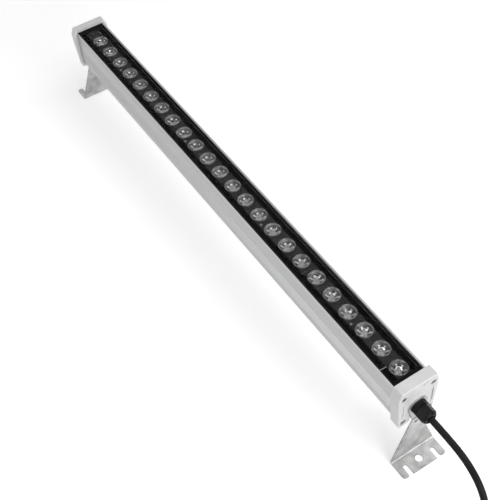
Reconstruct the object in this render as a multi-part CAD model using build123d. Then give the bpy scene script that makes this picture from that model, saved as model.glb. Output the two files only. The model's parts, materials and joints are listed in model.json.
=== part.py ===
from build123d import *
import math
import os

# Outdoor wall washer light: a long aluminium lamp with 24 lenses in a row, hung by its two
# end caps in sheet-metal brackets, so that it can be tilted about its long axis.
# Frame: millimetres, +Z up, origin on the floor under the middle of the lamp,
# +X along the lamp towards the end where the lead comes out.

# ---- driving dimensions -------------------------------------------------------------
LENGTH = 1000.0  # over the outer faces of the end caps
TOP_EDGE = 172.0  # height of the housing's top edges above the floor
PIVOT_Z = 130.0  # height of the tilt axis
BODY_WIDTH = 57.0
BODY_HEIGHT = 75.0
SHEET = 2.0  # bracket sheet thickness
CABLE_CAP_DEPTH = 18.0
FAR_CAP_DEPTH = 13.5
GASKET = 1.0
LED_PITCH = 39.1
LED_ROW_SHIFT = 6.0  # the row sits this far towards the lead end
LEDS_PER_BOARD = 6
BOARDS = 4
LEAD_DIAMETER = 10.0
COIL_TURNS = 3.5
COIL_MID_RADIUS = 50.5

# ---- worked out from them -----------------------------------------------------------
CAP_FACE = LENGTH / 2
BODY_NEAR = CAP_FACE - CABLE_CAP_DEPTH - GASKET  # the housing's end towards the lead
BODY_FAR = FAR_CAP_DEPTH + GASKET - CAP_FACE
BODY_SIDE = BODY_WIDTH / 2
LEDS = LEDS_PER_BOARD * BOARDS
BOARD_LENGTH = LEDS_PER_BOARD * LED_PITCH


def height(depth):
    """Height above the floor of a level given as its depth below the housing's top edges."""
    return TOP_EDGE - depth


def led_x(number):
    return LED_ROW_SHIFT + (number - (LEDS - 1) / 2) * LED_PITCH


def board_x(board):
    return LED_ROW_SHIFT + (board - (BOARDS - 1) / 2) * BOARD_LENGTH


# Levels, as depths below the housing's top edges
GLASS_TOP = 2.0
GLASS_UNDER = 4.6
SEAL_UNDER = 5.0
LEDGE = 5.05
LEDGE_FOOT = 11.0
SHELF_TOP = 22.0
SHELF_UNDER = 25.0
PAD_TOP = 21.8
BOARD_TOP = 20.2
CUP_TOP = 5.2
TRIM_TOP = 6.0
STRIP_TOP = 7.2
STRIP_UNDER = 8.6
SLOPE_START = 59.0
CHAMBER_FLOOR = 72.8

# Screws that hold the end caps: (distance from the middle, depth)
CAP_SCREWS = [(25.4, 8.0), (23.6, 69.5)]
PORT_RADIUS = 2.03

os.makedirs("parts", exist_ok=True)


# ---- helpers ------------------------------------------------------------------------
def save(name, *solids):
    shape = solids[0] if len(solids) == 1 else Compound(children=list(solids))
    export_step(shape, f"parts/{name}.step")


def block(x0, x1, y0, y1, z0, z1):
    centre = ((x0 + x1) / 2, (y0 + y1) / 2, (z0 + z1) / 2)
    return Pos(*centre) * Box(abs(x1 - x0), abs(y1 - y0), abs(z1 - z0))


def x_rod(x0, x1, radius, y=0.0, z=PIVOT_Z):
    return Pos((x0 + x1) / 2, y, z) * Rot(0, 90, 0) * Cylinder(radius, abs(x1 - x0))


def z_rod(x, y, z0, z1, radius):
    return Pos(x, y, (z0 + z1) / 2) * Cylinder(radius, abs(z1 - z0))


def cross_section(points, x0, x1):
    """A prism along X with the outline points given as (y, z)."""
    face = make_face(Polyline(*points, close=True))
    return extrude(Plane.YZ.offset(x0) * face, amount=x1 - x0)


def x_hexagon(x0, x1, across_flats, y=0.0, z=PIVOT_Z, turn=0.0):
    face = RegularPolygon(radius=across_flats / 2, side_count=6, major_radius=False)
    return extrude(Plane.YZ.offset(x0) * Pos(y, z) * Rot(0, 0, turn) * face, amount=x1 - x0)


def x_turned(profile, y=0.0, z=PIVOT_Z):
    """A body turned about an axis along X. The profile points are (x, radius)."""
    face = make_face(Polyline(*profile, close=True))
    return Pos(0, y, z) * revolve(Plane.XY * face, Axis.X)


def z_turned(profile):
    """A body turned about the Z axis. The profile points are (radius, z)."""
    face = make_face(Polyline(*profile, close=True))
    return revolve(Plane.XZ * face, Axis.Z)


def mirrored(points):
    """The right-hand points of an outline followed by their mirror image."""
    return points + [(-y, z) for y, z in reversed(points)]


def far_end(solid):
    """The same piece at the other end of the lamp."""
    return mirror(solid, Plane.YZ)


# ---- housing ------------------------------------------------------------------------
GROOVE_LINE = 5.0  # one line under the top edge
GROOVES_TOP = 34.0
GROOVE_PITCH = 1.5
GROOVE_COUNT = 16
GROOVE_DEPTH = 0.45
SLOPE_IN = 2.0
PORT_CORNER = 19.5
PORT_CORNER_TOP = 65.0
THROAT = 22.0
INNER_SIDE = 26.2
RECESS_FRONT = -27.2  # the recess for the glass, across the lamp from and to
RECESS_REAR = 25.3
SHELF_SCREW_RADIUS = 1.55
WIRE_HOLE = (468.0, -6.0, 3.0)
BOARD_SCREW_OFFSET = 2 * LED_PITCH


def groove(depth):
    """Three outline points of one small V groove in the side."""
    half = GROOVE_DEPTH
    return [
        (BODY_SIDE, height(depth - half)),
        (BODY_SIDE - GROOVE_DEPTH, height(depth)),
        (BODY_SIDE, height(depth + half)),
    ]


def body_outline():
    side = [(BODY_SIDE - 0.4, height(0)), (BODY_SIDE, height(0.4))]
    side += groove(GROOVE_LINE)
    for number in range(GROOVE_COUNT):
        side += groove(GROOVES_TOP + number * GROOVE_PITCH)
    side += [
        (BODY_SIDE, height(SLOPE_START)),
        (BODY_SIDE - SLOPE_IN, height(BODY_HEIGHT - 0.8)),
        (BODY_SIDE - SLOPE_IN - 0.8, height(BODY_HEIGHT)),
    ]
    return mirrored(side)


def screws_of(board):
    return [board_x(board) + side * BOARD_SCREW_OFFSET for side in (-1, 1)]


def board_screw_places():
    return [x for board in range(BOARDS) for x in screws_of(board)]


def housing():
    body = cross_section(body_outline(), BODY_FAR, BODY_NEAR)
    over = CAP_FACE
    body -= block(-over, over, RECESS_FRONT, RECESS_REAR, height(LEDGE), height(-1))
    body -= block(-over, over, -THROAT, THROAT, height(LEDGE_FOOT), height(0))
    body -= block(-over, over, -INNER_SIDE, INNER_SIDE, height(SHELF_TOP), height(LEDGE_FOOT))
    chamber = mirrored(
        [
            (INNER_SIDE, height(SHELF_UNDER)),
            (INNER_SIDE, height(SLOPE_START - 1)),
            (PORT_CORNER, height(PORT_CORNER_TOP)),
            (PORT_CORNER, height(CHAMBER_FLOOR)),
        ]
    )
    body -= cross_section(chamber, -over, over)
    for y, depth in CAP_SCREWS:
        for side in (-1, 1):
            body -= x_rod(-over, over, PORT_RADIUS, side * y, height(depth))
    for x in board_screw_places():
        body -= z_rod(x, 0, height(SHELF_UNDER + 1), height(SHELF_TOP - 1), SHELF_SCREW_RADIUS)
    x, y, radius = WIRE_HOLE
    body -= z_rod(x, y, height(SHELF_UNDER + 1), height(SHELF_TOP - 1), radius)
    return body


# ---- end caps, gaskets and their screws ----------------------------------------------
# Half of the cap's outline: (distance from the middle, depth)
CABLE_CAP_TOP = (30.8, -8.5)
FAR_CAP_TOP = (30.0, -6.0)
CAP_SHOULDER = (35.2, 6.0)
CAP_WIDEST = (35.0, 18.0)
CAP_UNDER = (30.6, 80.0)
CAP_CORNER = 1.8
SHOULDER_ROUND = 9.0
CAP_EDGE = 1.1
CAP_WALL = 4.0
PANEL_DEPTH = 0.8
PANEL_HALF = 27.0
HEAD_BOSS = 17.6
RECESS_Y = 25.6
RECESS_DEPTHS = (27.0, 55.5)  # from and to
RECESS_WIDTH = 4.0
OVAL_PLACE = (10.3, -1.6)
OVAL_SIZE = (11.0, 2.8)
OVAL_TURN = 54.0
MARK_DEPTH = 1.8
NOTCH_DEPTH = 6.0  # of the two notches beside the bracket's neck
SCREW_HOLE = 2.2
COUNTERBORE = 4.8
COUNTERBORE_DEPTH = 3.4
THREAD_RADIUS = 10.0  # M20 thread of the gland and of the far pivot plug
HOLE_RADIUS = 10.02
CAVITY_HALF = 19.0
CAVITY_TOP = 26.0
CAVITY_UNDER = 61.0


def half_outline(*points):
    """An outline in the YZ plane from half of it, given as (distance from the middle, depth)."""
    return mirrored([(y, height(depth)) for y, depth in points])


def face_panel():
    """The shallow eight-sided panel in the cap's face, with the pivot boss left standing."""
    outline = half_outline((13.0, -2.5), (PANEL_HALF, 17.5), (PANEL_HALF, 56.0), (12.5, 76.0))
    cut = cross_section(outline, CAP_FACE - PANEL_DEPTH, CAP_FACE + 1)
    return cut - x_rod(CAP_FACE - 2, CAP_FACE + 2, HEAD_BOSS)


def cap_marks():
    """Shallow marks of the casting: an upright recess at each side and a slanting oval."""
    plane = Plane.YZ.offset(CAP_FACE - MARK_DEPTH)
    top, under = RECESS_DEPTHS
    recess = SlotOverall(under - top, RECESS_WIDTH, rotation=90)
    places = [Pos(side * RECESS_Y, height((top + under) / 2)) for side in (-1, 1)]
    marks = [extrude(plane * place * recess, amount=3) for place in places]
    y, depth = OVAL_PLACE
    oval = Pos(y, height(depth)) * SlotOverall(*OVAL_SIZE, rotation=OVAL_TURN)
    return marks + [extrude(plane * oval, amount=3)]


def cap_blank(cap_depth, cap_top):
    """The cap's outline as a block, with its corners and the edge of its face rounded."""
    outline = half_outline(cap_top, CAP_SHOULDER, CAP_WIDEST, CAP_UNDER)
    face = make_face(Polyline(*outline, close=True))
    corners = face.vertices().sort_by(Axis.Y)
    face = fillet(corners[:2] + corners[-2:], CAP_CORNER)
    shoulders = [v for v in face.vertices() if abs(v.X) > CAP_WIDEST[0] - 0.1]
    face = fillet(shoulders, SHOULDER_ROUND)
    cap = extrude(Plane.YZ.offset(CAP_FACE - cap_depth) * face, amount=cap_depth)
    return fillet(cap.faces().sort_by(Axis.X)[-1].edges(), CAP_EDGE)


def wire_space(x0, x1):
    return block(x0, x1, -CAVITY_HALF, CAVITY_HALF, height(CAVITY_UNDER), height(CAVITY_TOP))


def end_cap(cap_depth, cap_top):
    back = CAP_FACE - cap_depth
    cap = cap_blank(cap_depth, cap_top) - face_panel()
    for mark in cap_marks():
        cap -= mark
    neck_notch = half_outline((8.5, 72.5), (16.0, 81.0))
    cap -= cross_section(neck_notch, CAP_FACE - NOTCH_DEPTH, CAP_FACE + 1)
    cap -= wire_space(back - 1, CAP_FACE - CAP_WALL)
    cap -= x_rod(CAP_FACE - CAP_WALL - 1, CAP_FACE + 1, HOLE_RADIUS)
    for y, z in cap_screw_places():
        cap -= x_rod(back - 1, CAP_FACE + 1, SCREW_HOLE, y, z)
        cap -= x_rod(CAP_FACE - COUNTERBORE_DEPTH, CAP_FACE + 1, COUNTERBORE, y, z)
    return cap


def gasket(cap_depth):
    back = CAP_FACE - cap_depth
    outline = half_outline(
        (BODY_SIDE - 0.2, 0.6),
        (BODY_SIDE - 0.2, SLOPE_START),
        (BODY_SIDE - SLOPE_IN - 0.8, BODY_HEIGHT - 0.6),
    )
    sheet = cross_section(outline, back - GASKET, back)
    sheet -= wire_space(back - GASKET - 1, back + 1)
    for y, z in cap_screw_places():
        sheet -= x_rod(back - GASKET - 1, back + 1, SCREW_HOLE, y, z)
    return sheet


def cap_screw_places():
    return [(side * y, height(depth)) for y, depth in CAP_SCREWS for side in (-1, 1)]


def cap_screw(cap_depth, y, z):
    """Socket-head screw: its head sinks in the cap, its thread holds in the housing."""
    seat = CAP_FACE - COUNTERBORE_DEPTH
    thread_end = CAP_FACE - cap_depth - GASKET - 16
    head = x_turned([(seat, 0), (seat, 3.7), (seat + 2.5, 3.7), (seat + 2.9, 3.1), (seat + 2.9, 0)])
    shank = x_rod(thread_end, seat, 2.0)
    socket = x_hexagon(seat + 1.0, seat + 4, 3.0)
    return Pos(0, y, z - PIVOT_Z) * (head + shank - socket)


def cap_screws(cap_depth):
    return [cap_screw(cap_depth, y, z) for y, z in cap_screw_places()]


# ---- glass, seal and black side trims --------------------------------------------------
GLASS_FRONT = RECESS_FRONT + 0.1
GLASS_REAR = RECESS_REAR - 0.1
SEAL_INNER = 21.9
SEAL_FAR = -479.6  # the seal's opening ends here at the far end
SEAL_NEAR = 470.5
TRIM_OUTER = 21.8
TRIM_INNER = 13.3
TRIM_FLANGE = 0.7
LEG_THICKNESS = 1.2
TRIM_GAP = 1.0  # between a trim's end and the housing's end
CUP_CLEARANCE = 0.2


def glass():
    under = height(GLASS_UNDER)
    pane = block(BODY_FAR, BODY_NEAR, GLASS_FRONT, GLASS_REAR, under, height(GLASS_TOP))
    return chamfer(pane.faces().sort_by(Axis.Z)[-1].edges().filter_by(Axis.X), 0.3)


def glass_seal():
    under = height(SEAL_UNDER)
    top = height(GLASS_UNDER)
    ring = block(BODY_FAR, BODY_NEAR, GLASS_FRONT, GLASS_REAR, under, top)
    ring -= block(SEAL_FAR, SEAL_NEAR, -SEAL_INNER, SEAL_INNER, under - 1, top + 1)
    half = LINK_HALF + 0.1
    return ring - block(LINK_X - half, LINK_X + half, LINK_FOOT - 0.1, -20.0, under - 1, top + 1)


def side_trim(side):
    """Black trim from the wall to the lens cups, on a leg that stands on the shelf."""
    leg = TRIM_OUTER - LEG_THICKNESS
    outline = [
        (TRIM_OUTER, height(TRIM_TOP)),
        (TRIM_INNER, height(TRIM_TOP + 0.2)),
        (TRIM_INNER, height(TRIM_TOP + 0.2 + TRIM_FLANGE)),
        (leg, height(TRIM_TOP + TRIM_FLANGE)),
        (leg, height(SHELF_TOP)),
        (TRIM_OUTER, height(SHELF_TOP)),
    ]
    x0 = BODY_FAR + TRIM_GAP
    trim = cross_section([(side * y, z) for y, z in outline], x0, BODY_NEAR - TRIM_GAP)
    for number in range(LEDS):
        trim -= z_rod(led_x(number), 0, height(8), height(5), HOLDER_RADIUS + CUP_CLEARANCE)
    return trim


# ---- light engine: boards, emitters, lenses, holders, cover strips -----------------------
BOARD_HALF = 15.0
BOARD_GAP = 0.3
FAR_TAB_END = -479.4
TAB_LIP = 0.9
HOLDER_RADIUS = 13.7
STRIP_HOLE = 13.8
STRIP_HALF = 15.2
TAB_PILLAR = (-467.5, 11.2)
PILLAR_RADIUS = 2.2
PILLAR_SCREW_RADIUS = 1.25
REFLECTOR_RIM = 9.0
REFLECTOR_LEGS = 4
LEG_GAP = 8.6  # width of the gap between two legs of a reflector


def board_span(board):
    low = board_x(board) - BOARD_LENGTH / 2 + BOARD_GAP
    high = board_x(board) + BOARD_LENGTH / 2 - BOARD_GAP
    return (FAR_TAB_END if board == 0 else low), high


def leds_of(board):
    first = board * LEDS_PER_BOARD
    return range(first, first + LEDS_PER_BOARD)


def pillar_places():
    """One pillar on the tab at the far end, and one in the middle of each board."""
    return [TAB_PILLAR] + [(board_x(board), -9.0) for board in range(BOARDS)]


def led_board(board):
    x0, x1 = board_span(board)
    plate = block(x0, x1, -BOARD_HALF, BOARD_HALF, height(PAD_TOP), height(BOARD_TOP))
    for x in screws_of(board):
        plate -= z_rod(x, 0, height(SHELF_TOP), height(BOARD_TOP - 1), 1.6)
    return plate


def thermal_pad(board):
    x0, x1 = board_span(board)
    pad = block(x0 + 2, x1 - 2, -14.0, 14.0, height(SHELF_TOP), height(PAD_TOP))
    for x in screws_of(board):
        pad -= z_rod(x, 0, height(SHELF_TOP + 1), height(PAD_TOP - 1), 2.2)
    x, y, radius = WIRE_HOLE
    return pad - z_rod(x, y, height(SHELF_TOP + 1), height(PAD_TOP - 1), radius)


def led_package(number):
    x = led_x(number)
    return block(x - 1.73, x + 1.73, -1.73, 1.73, height(BOARD_TOP), height(BOARD_TOP - 0.9))


def led_phosphor(number):
    dome = Sphere(1.35, arc_size1=0, align=(Align.CENTER, Align.CENTER, Align.MIN))
    return Pos(led_x(number), 0, height(BOARD_TOP - 0.9)) * dome


def turned_at_depths(points):
    """A body turned about the Z axis. The profile points are (radius, depth)."""
    return z_turned([(radius, height(depth)) for radius, depth in points])


def lens_holder():
    """Cup that holds one lens; its shoulder carries the cover strip."""
    return turned_at_depths(
        [
            (12.5, CUP_TOP + 0.4),
            (13.2, CUP_TOP),
            (HOLDER_RADIUS, CUP_TOP + 0.4),
            (HOLDER_RADIUS, STRIP_UNDER),
            (14.6, STRIP_UNDER),
            (14.6, 9.8),
            (13.2, 11.2),
            (13.2, BOARD_TOP),
            (6.9, BOARD_TOP),
            (6.9, 19.8),
            (12.5, 8.9),
        ]
    )


def lens_reflector():
    """Thin bright cone inside the cup, cut into four legs that stand round the lens."""
    outer = [(6.8, BOARD_TOP), (6.8, 19.6), (12.3, REFLECTOR_RIM)]
    inner = [(11.95, REFLECTOR_RIM), (6.45, 19.6), (6.45, BOARD_TOP)]
    cone = turned_at_depths(outer + inner)
    gap = block(4, 16, -LEG_GAP / 2, LEG_GAP / 2, height(19.4), height(REFLECTOR_RIM + 2))
    for leg in range(REFLECTOR_LEGS):
        cone -= Rot(0, 0, (leg + 0.5) * 360 / REFLECTOR_LEGS) * gap
    return cone


def lens():
    """Collimating lens: a cone with a hollow for the emitter and a stepped top."""
    return turned_at_depths(
        [
            (0, 8.0),
            (4.2, 7.6),
            (5.4, 6.1),
            (11.4, 6.1),
            (12.3, 6.6),
            (12.3, REFLECTOR_RIM),
            (11.6, REFLECTOR_RIM),
            (6.1, 19.2),
            (3.6, 19.2),
            (3.3, 15.6),
            (0, 14.6),
        ]
    )


def at_led(solid, number):
    return Pos(led_x(number), 0, 0) * solid


def cover_strip(board):
    """Dark strip with a hole for each lens cup; the side trims lie over its long edges."""
    x0, x1 = board_span(board)
    strip = block(x0, x1, -STRIP_HALF, STRIP_HALF, height(STRIP_UNDER), height(STRIP_TOP))
    if board == 0:
        lip_top = height(TRIM_TOP + 0.2)
        strip += block(x0, x0 + TAB_LIP, -TRIM_INNER, TRIM_INNER, height(STRIP_TOP), lip_top)
    for number in leds_of(board):
        strip -= z_rod(led_x(number), 0, height(9), height(5), STRIP_HOLE)
    for x, y in pillar_places():
        if x0 < x < x1:
            strip -= z_rod(x, y, height(9), height(5), PILLAR_SCREW_RADIUS + 0.2)
    return strip


def strip_pillar(x, y):
    pillar = z_rod(x, y, height(BOARD_TOP), height(STRIP_UNDER), PILLAR_RADIUS)
    return pillar - z_rod(x, y, height(14.5), height(7), PILLAR_SCREW_RADIUS + 0.03)


def pan_screw(x, y, seat, head_radius, head_height, shank_radius, shank_length):
    """A small cross-head screw standing on the level seat, with its shank below it."""
    head = z_rod(x, y, seat, seat + head_height, head_radius)
    head = fillet(head.edges().sort_by(Axis.Z)[-1], head_height * 0.45)
    shank = z_rod(x, y, seat - shank_length, seat, shank_radius)
    arm = head_radius * 1.1
    slot = 0.35 * shank_radius
    top = seat + head_height
    cross = block(x - arm / 2, x + arm / 2, y - slot, y + slot, top - head_height / 2, top + 1)
    cross += block(x - slot, x + slot, y - arm / 2, y + arm / 2, top - head_height / 2, top + 1)
    return head + shank - cross


def board_jumper(board, y):
    """Insulated link that carries the current from one board to the next."""
    x = board_span(board)[1] + BOARD_GAP
    z = height(BOARD_TOP - 0.75)
    start = (x - 5.5, y, z)
    path = Edge.make_three_point_arc(start, (x, y, z + 2.6), (x + 5.5, y, z))
    section = Plane(origin=start, z_dir=path % 0) * Circle(0.65)
    return sweep(section, path=path)


LINK_X = 444.5
LINK_HALF = 0.6
LINK_FOOT = -26.0


def strip_link():
    """Thin bonding link from the cover strip over the trim to the ledge under the glass."""
    top = [(-12.0, 6.7), (-13.6, 5.2), (-21.0, 5.2), (-22.2, 4.65), (LINK_FOOT, 4.65)]
    under = [(LINK_FOOT, 5.0), (-22.0, 5.0), (-20.8, 5.7), (-13.8, 5.7), (-12.5, 7.2), (-12.0, 7.2)]
    outline = [(y, height(depth)) for y, depth in top + under]
    return cross_section(outline, LINK_X - LINK_HALF, LINK_X + LINK_HALF)


# ---- driver, terminals and inner wiring ---------------------------------------------------
DRIVER_X0 = 175.0
DRIVER_X1 = 425.0
DRIVER_HALF = 19.0
DRIVER_TOP = 40.5  # depth of the case's rim
DRIVER_BOARD_TOP = 66.5
DRIVER_BOARD_HALF = 16.0
BOARD_INSET = 12.0
CASE_WALL = 1.5
OUTPUT_DEPTH = 48.5  # depth of the hole for the output wires
OUTPUT_Y = -6.0
INPUT_DEPTH = 63.5
INPUT_Y = 5.0
CASE_HOLE = 3.0
LID_SCREW_INSET = 6.0
LID_SCREW_Y = 14.0
LID_BOSS_HALF = 3.5
LID_SCREW_RADIUS = 1.5
TERMINAL_X0 = 438.0
TERMINAL_X1 = 460.0
TERMINAL_HALF = 11.5
TERMINAL_HEIGHT = 16.0
CORE_HEIGHT = 6.0  # of the cores above the chamber's floor
CORE_SPREAD = 6.5

# On the driver's board, all from its top: transformer, chokes and power transistors as
# (x from, x to, y from, y to, height), and capacitors as (x, y, radius, height)
SQUARE_COMPONENTS = [
    (280, 308, -13, 13, 20),
    (195, 210, -10, 10, 15),
    (352, 362, -12, 2, 14),
    (330, 342, -14, -4, 9),
    (330, 342, 4, 14, 9),
]
CAPACITORS = [(228, -6, 7, 21), (246, 6, 7, 21), (375, 6, 5, 16), (390, -5, 5, 16)]


def lid_screw_places():
    xs = (DRIVER_X0 + LID_SCREW_INSET, DRIVER_X1 - LID_SCREW_INSET)
    return [(x, y) for x in xs for y in (-LID_SCREW_Y, LID_SCREW_Y)]


def driver_case():
    floor = height(CHAMBER_FLOOR)
    rim = height(DRIVER_TOP)
    inner = DRIVER_HALF - CASE_WALL
    x0 = DRIVER_X0 + CASE_WALL
    x1 = DRIVER_X1 - CASE_WALL
    case = block(DRIVER_X0, DRIVER_X1, -DRIVER_HALF, DRIVER_HALF, floor, rim)
    case -= block(x0, x1, -inner, inner, floor + CASE_WALL, rim + 1)
    half = LID_BOSS_HALF
    for x, y in lid_screw_places():
        case += block(x - half, x + half, y - half, y + half, floor + CASE_WALL, rim)
        case -= z_rod(x, y, rim - 9, rim + 1, LID_SCREW_RADIUS + 0.03)
    case -= x_rod(DRIVER_X1 - 5, DRIVER_X1 + 5, CASE_HOLE, OUTPUT_Y, height(OUTPUT_DEPTH))
    case -= x_rod(DRIVER_X1 - 5, DRIVER_X1 + 5, CASE_HOLE, INPUT_Y, height(INPUT_DEPTH))
    return case


def driver_lid():
    rim = height(DRIVER_TOP)
    lid = block(DRIVER_X0, DRIVER_X1, -DRIVER_HALF, DRIVER_HALF, rim, rim + CASE_WALL)
    for x, y in lid_screw_places():
        lid -= z_rod(x, y, rim - 1, rim + 3, LID_SCREW_RADIUS + 0.2)
    return lid


def driver_board():
    x0 = DRIVER_X0 + BOARD_INSET
    x1 = DRIVER_X1 - BOARD_INSET
    top = height(DRIVER_BOARD_TOP)
    return block(x0, x1, -DRIVER_BOARD_HALF, DRIVER_BOARD_HALF, top - 1.6, top)


def driver_components():
    z = height(DRIVER_BOARD_TOP)
    pieces = [block(x0, x1, y0, y1, z, z + tall) for x0, x1, y0, y1, tall in SQUARE_COMPONENTS]
    return pieces + [z_rod(x, y, z, z + tall, radius) for x, y, radius, tall in CAPACITORS]


def terminal_block():
    """Three-way block: each way has a bore for the core and a screw well above it."""
    floor = height(CHAMBER_FLOOR)
    middle = (TERMINAL_X0 + TERMINAL_X1) / 2
    top = floor + TERMINAL_HEIGHT
    body = block(TERMINAL_X0, TERMINAL_X1, -TERMINAL_HALF, TERMINAL_HALF, floor, top)
    for lane in (-1, 0, 1):
        y = lane * CORE_SPREAD
        body -= x_rod(TERMINAL_X0 - 1, TERMINAL_X1 + 1, 1.6, y, floor + CORE_HEIGHT)
        body -= z_rod(middle, y, floor + CORE_HEIGHT + 2.6, top + 1, 1.9)
    return body


def tube_along(points, radii, radius):
    path = FilletPolyline(*points, radius=radii)
    section = Plane(origin=path @ 0, z_dir=path % 0) * Circle(radius)
    return sweep(section, path=path)


def mains_core(lane):
    """One insulated core from the lead's end in the gland to the terminal block."""
    z = height(CHAMBER_FLOOR) + CORE_HEIGHT
    near = lane * 2.9
    wide = lane * CORE_SPREAD
    points = [
        (INSIDE_X - 3.6, near, PIVOT_Z),
        (481.0, near, PIVOT_Z),
        (470.0, wide, z + 1.0),
        (TERMINAL_X1 - 4.0, wide, z),
    ]
    return tube_along(points, [3.0, 6.0], 1.3)


def driver_output_wire(y):
    """Wire from the driver up through the shelf to the underside of the last board."""
    x = WIRE_HOLE[0]
    points = [
        (DRIVER_X1 - 8, y, height(OUTPUT_DEPTH)),
        (x, y, height(OUTPUT_DEPTH)),
        (x, y, height(PAD_TOP)),
    ]
    return tube_along(points, [8.0], 0.8)


EARTH_X = 470.0
EARTH_Y = -14.8


def earth_lug():
    """Lug screwed to the chamber's floor, with an arm that reaches the terminal block."""
    floor = height(CHAMBER_FLOOR)
    lug = z_rod(EARTH_X, EARTH_Y, floor, floor + 0.8, 4.0)
    lug += block(EARTH_X - 16, EARTH_X, EARTH_Y - 2, EARTH_Y + 2, floor, floor + 0.8)
    lug += block(EARTH_X - 16, EARTH_X - 12, EARTH_Y, -TERMINAL_HALF, floor, floor + 0.8)
    return lug - z_rod(EARTH_X, EARTH_Y, floor - 1, floor + 2, 2.1)


# ---- gland at the lead end, plug at the far pivot -------------------------------------------
BRACKET_IN = CAP_FACE + 0.1
BRACKET_OUT = BRACKET_IN + SHEET
FLANGE_X = BRACKET_OUT + 0.1
HEX_ACROSS = 23.0
HEX_CORNER = 12.8
FLANGE_RADIUS = 13.0
HEX_TURN = 12.0
NUT_X0 = FLANGE_X + 8.4
NUT_X1 = NUT_X0 + 14.6
MOUTH_X = NUT_X1 + 4.3
INSIDE_X = CAP_FACE - CAP_WALL - 6.5
LEAD_RADIUS = LEAD_DIAMETER / 2


def rounded_hexagon(x0, x1, across, corner):
    """A hexagonal prism with its corners turned down to the given radius."""
    return x_hexagon(x0, x1, across, turn=HEX_TURN) & x_rod(x0 - 1, x1 + 1, corner)


def turned_flange():
    """Round flange under the hexagon, with its edge broken."""
    x = FLANGE_X
    edge = FLANGE_RADIUS - 0.4
    outer = [(x + 0.4, FLANGE_RADIUS), (x + 1.5, FLANGE_RADIUS)]
    return x_turned([(x, 0), (x, edge), *outer, (x + 1.9, edge), (x + 1.9, 0)])


def gland_body():
    hexagon = rounded_hexagon(FLANGE_X + 1.5, FLANGE_X + 7.2, HEX_ACROSS, HEX_CORNER)
    collar = x_rod(FLANGE_X + 6, NUT_X0 + 8, 9.4)
    thread = x_rod(INSIDE_X, FLANGE_X + 1, THREAD_RADIUS)
    body = turned_flange() + hexagon + collar + thread
    body -= x_rod(INSIDE_X - 1, NUT_X0 + 9, 5.6)
    return body - x_rod(NUT_X0 - 1, NUT_X0 + 9, 7.9)


def gland_seal():
    outer = x_rod(NUT_X0, NUT_X0 + 8, 7.8)
    nose = x_turned([(NUT_X0 + 8, 0), (NUT_X0 + 8, 7.8), (MOUTH_X - 1.2, 7.0), (MOUTH_X - 1.2, 0)])
    return outer + nose - x_rod(NUT_X0 - 1, MOUTH_X, LEAD_RADIUS + 0.02)


def gland_nut():
    hexagon = rounded_hexagon(NUT_X0, NUT_X1, HEX_ACROSS, HEX_CORNER)
    dome = x_turned(
        [
            (NUT_X1 - 0.6, 0),
            (NUT_X1 - 0.6, 11.9),
            (NUT_X1 + 1.4, 11.6),
            (MOUTH_X - 1.0, 10.2),
            (MOUTH_X, 8.9),
            (MOUTH_X, 0),
        ]
    )
    bore = x_rod(NUT_X0 - 1, NUT_X0 + 8.2, 9.5)
    throat = x_turned([(NUT_X0 + 8, 0), (NUT_X0 + 8, 8.2), (MOUTH_X + 0.1, 7.4), (MOUTH_X + 0.1, 0)])
    return hexagon + dome - bore - throat


def locknut():
    wall = CAP_FACE - CAP_WALL
    return x_hexagon(wall - 5, wall, 25.0, turn=HEX_TURN) - x_rod(wall - 6, wall + 1, HOLE_RADIUS)


def pivot_plug():
    """Closed plug with the gland's thread: the far bracket turns on it."""
    head = rounded_hexagon(FLANGE_X + 1.5, FLANGE_X + 6.0, HEX_ACROSS, HEX_CORNER)
    thread = x_rod(INSIDE_X, FLANGE_X + 1, THREAD_RADIUS)
    plug = turned_flange() + head + thread
    return plug - x_rod(INSIDE_X - 1, FLANGE_X - 3, 6.5)


# ---- brackets ---------------------------------------------------------------------------------
FOOT_HALF = 39.3
FOOT_END = 534.0
FOOT_HOLE_X = 519.1
FOOT_HOLE = 6.15
SLOT_Y = 25.4
SLOT_HALF = 3.7
HEAD_RADIUS = 16.5
NECK_HALF = 7.4
NECK_Z = height(76.0)
FLARE_Z = 5.0
PIVOT_HOLE = THREAD_RADIUS + 0.08
PRESSED_DEPTH = 1.2
PRESSED_LEVELS = (72.6, 74.6)  # depths from and to


def head_tangent():
    """Point where the straight edge from the neck meets the round head."""
    down = NECK_Z - PIVOT_Z
    reach = math.hypot(NECK_HALF, down)
    angle = math.atan2(down, NECK_HALF) + math.acos(HEAD_RADIUS / reach)
    return HEAD_RADIUS * math.cos(angle), PIVOT_Z + HEAD_RADIUS * math.sin(angle)


def bracket_outline():
    """Seen along the lamp: a round head, a narrow neck and a web that widens to the foot."""
    sides = [head_tangent(), (NECK_HALF, NECK_Z), (FOOT_HALF, FLARE_Z), (FOOT_HALF, -1)]
    web = make_face(Polyline(*mirrored(sides), close=True))
    neck = [v for v in web.vertices() if abs(v.Y - NECK_Z) < 0.01]
    web = fillet(neck, 3.0)
    return web + Pos(0, PIVOT_Z) * Circle(HEAD_RADIUS)


def bent_sheet():
    """The web and the foot as one bent strip, full width."""
    profile = [
        (BRACKET_IN, 0),
        (FOOT_END, 0),
        (FOOT_END, SHEET),
        (BRACKET_OUT, SHEET),
        (BRACKET_OUT, PIVOT_Z + HEAD_RADIUS),
        (BRACKET_IN, PIVOT_Z + HEAD_RADIUS),
    ]
    face = make_face(Polyline(*profile, close=True))
    outer = [v for v in face.vertices() if abs(v.X - BRACKET_IN) + abs(v.Y) < 0.01]
    face = fillet(outer, 3.6)
    inner = [v for v in face.vertices() if abs(v.X - BRACKET_OUT) + abs(v.Y - SHEET) < 0.01]
    face = fillet(inner, 1.6)
    return extrude(Plane.XZ * face, amount=FOOT_HALF, both=True)


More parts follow.
